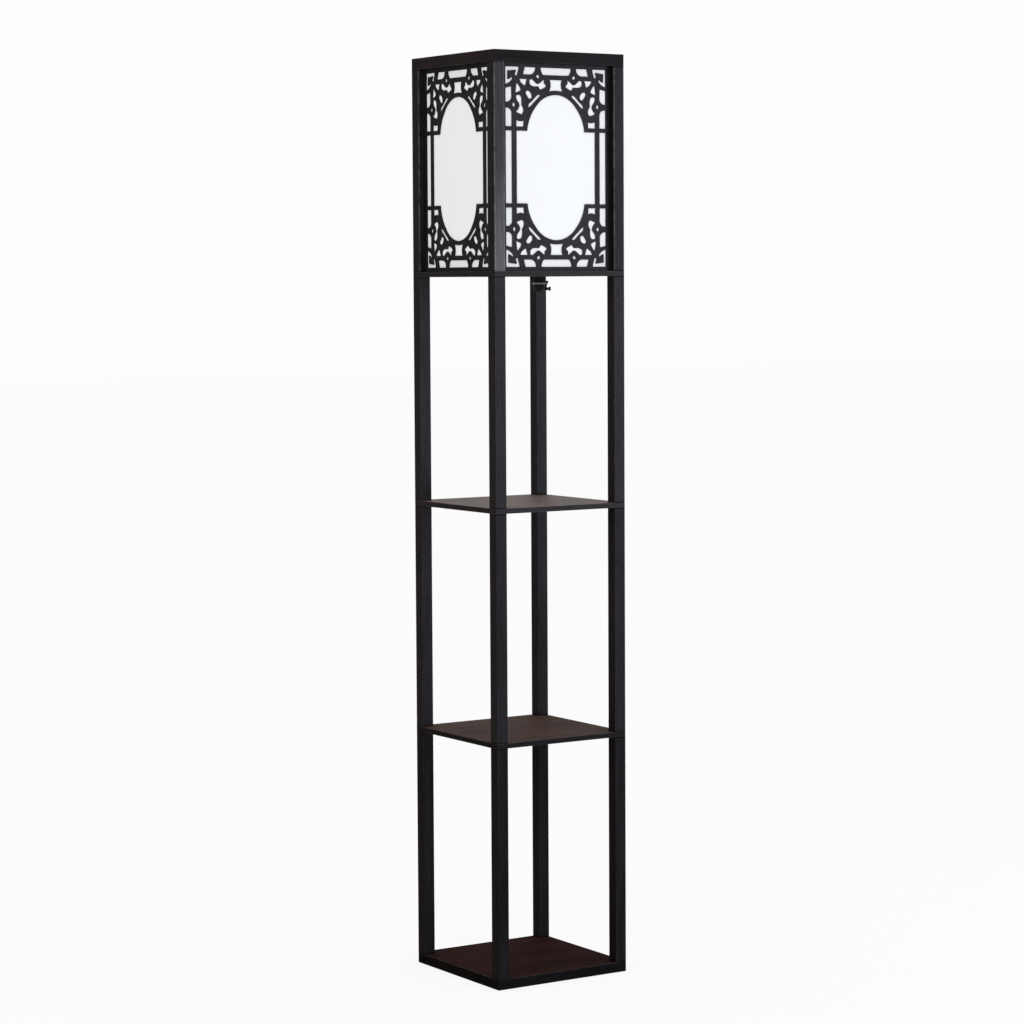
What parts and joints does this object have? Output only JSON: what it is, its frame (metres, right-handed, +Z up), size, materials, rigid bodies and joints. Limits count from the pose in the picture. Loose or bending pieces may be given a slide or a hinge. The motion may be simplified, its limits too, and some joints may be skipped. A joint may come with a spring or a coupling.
{
  "type": "shelf floor lamp",
  "caption": "Square tower floor lamp in dark wood: a base board, open shelves and a fretwork shade with white diffusers on stacked corner posts.",
  "frame": {"origin": "middle of the underside of the base board, on the floor", "axes": "+Z up along the posts, +X to the right and +Y to the back when the front of the lamp is faced; the turn key points to +X"},
  "size_m": [0.266, 0.266, 1.6],
  "materials": {
    "board_wood": "dark stained board, satin lacquer, fine grain",
    "frame_wood": "dark stained hardwood, satin lacquer",
    "fret_wood": "thin cut board, dark satin lacquer",
    "diffuser_sheet": "white translucent sheet, satin",
    "zinc_steel": "zinc plated",
    "insert_brass": "plain machined",
    "dowel_wood": "plain beech",
    "bracket_steel": "black powder coat",
    "holder_plastic": "black moulded, threaded above",
    "holder_metal": "aged brass",
    "key_plastic": "black moulded",
    "holder_porcelain": "glazed white",
    "bulb_opal": "opal, satin",
    "bulb_plastic": "white moulded",
    "bulb_nickel": "nickel plated, rolled thread",
    "bulb_black_glass": "black glass",
    "led_board": "white solder mask with yellow chips"
  },
  "bodies": {
    "frame": {"base_board": "board_wood", "lower_shelf": "board_wood", "upper_shelf": "board_wood", "shade_bottom_board": "board_wood", "lower_post_front_left": "frame_wood", "lower_post_front_right": "frame_wood", "lower_post_back_left": "frame_wood", "lower_post_back_right": "frame_wood", "middle_post_front_left": "frame_wood", "middle_post_front_right": "frame_wood", "middle_post_back_left": "frame_wood", "middle_post_back_right": "frame_wood", "upper_post_front_left": "frame_wood", "upper_post_front_right": "frame_wood", "upper_post_back_left": "frame_wood", "upper_post_back_right": "frame_wood", "shade_post_front_left": "frame_wood", "shade_post_front_right": "frame_wood", "shade_post_back_left": "frame_wood", "shade_post_back_right": "frame_wood", "top_rail_front": "frame_wood", "top_rail_back": "frame_wood", "top_rail_left": "frame_wood", "top_rail_right": "frame_wood", "fret_panel_front": "fret_wood", "fret_panel_back": "fret_wood", "fret_panel_left": "fret_wood", "fret_panel_right": "fret_wood", "diffuser_front": "diffuser_sheet", "diffuser_back": "diffuser_sheet", "diffuser_left": "diffuser_sheet", "diffuser_right": "diffuser_sheet", "shelf_studs": "zinc_steel", "base_bolts": "zinc_steel", "crossbar_screws": "zinc_steel", "post_inserts": "insert_brass", "holder_screw_shell": "insert_brass", "holder_centre_contact": "insert_brass", "top_frame_dowels": "dowel_wood", "rail_corner_dowels": "dowel_wood", "holder_crossbar": "bracket_steel", "holder_ring_nuts": "holder_plastic", "holder_sleeve": "holder_plastic", "cord_inlet_bushing": "holder_plastic", "holder_collar": "holder_metal", "holder_cap": "holder_metal", "holder_block": "holder_porcelain"},
    "switch": {"switch_key": "key_plastic", "switch_rotor": "key_plastic"},
    "bulb_foot": {"bulb_tip_contact": "insert_brass"},
    "bulb": {"bulb_insulator": "bulb_black_glass", "bulb_screw_cap": "bulb_nickel", "bulb_neck": "bulb_plastic", "bulb_led_board": "led_board", "bulb_globe": "bulb_opal"}
  },
  "joints": [
    {"name": "key_turn", "type": "hinge", "parent": "frame", "child": "switch", "pos_m": [0.0442, 0, 1.1982], "axis": [1, 0, 0], "continuous": true},
    {"name": "bulb_lift", "type": "slide", "parent": "frame", "child": "bulb_foot", "axis": [0, 0, 1], "range_m": [0, 0.0142]},
    {"name": "bulb_turn", "type": "hinge", "parent": "bulb_foot", "child": "bulb", "pos_m": [0.0442, 0, 1.24], "axis": [0, 0, 1], "range_deg": [0, 1800]}
  ],
  "couplings": [
    {"joint": "bulb_lift", "follows": "bulb_turn", "m_per_rad": 0.00044913}
  ]
}
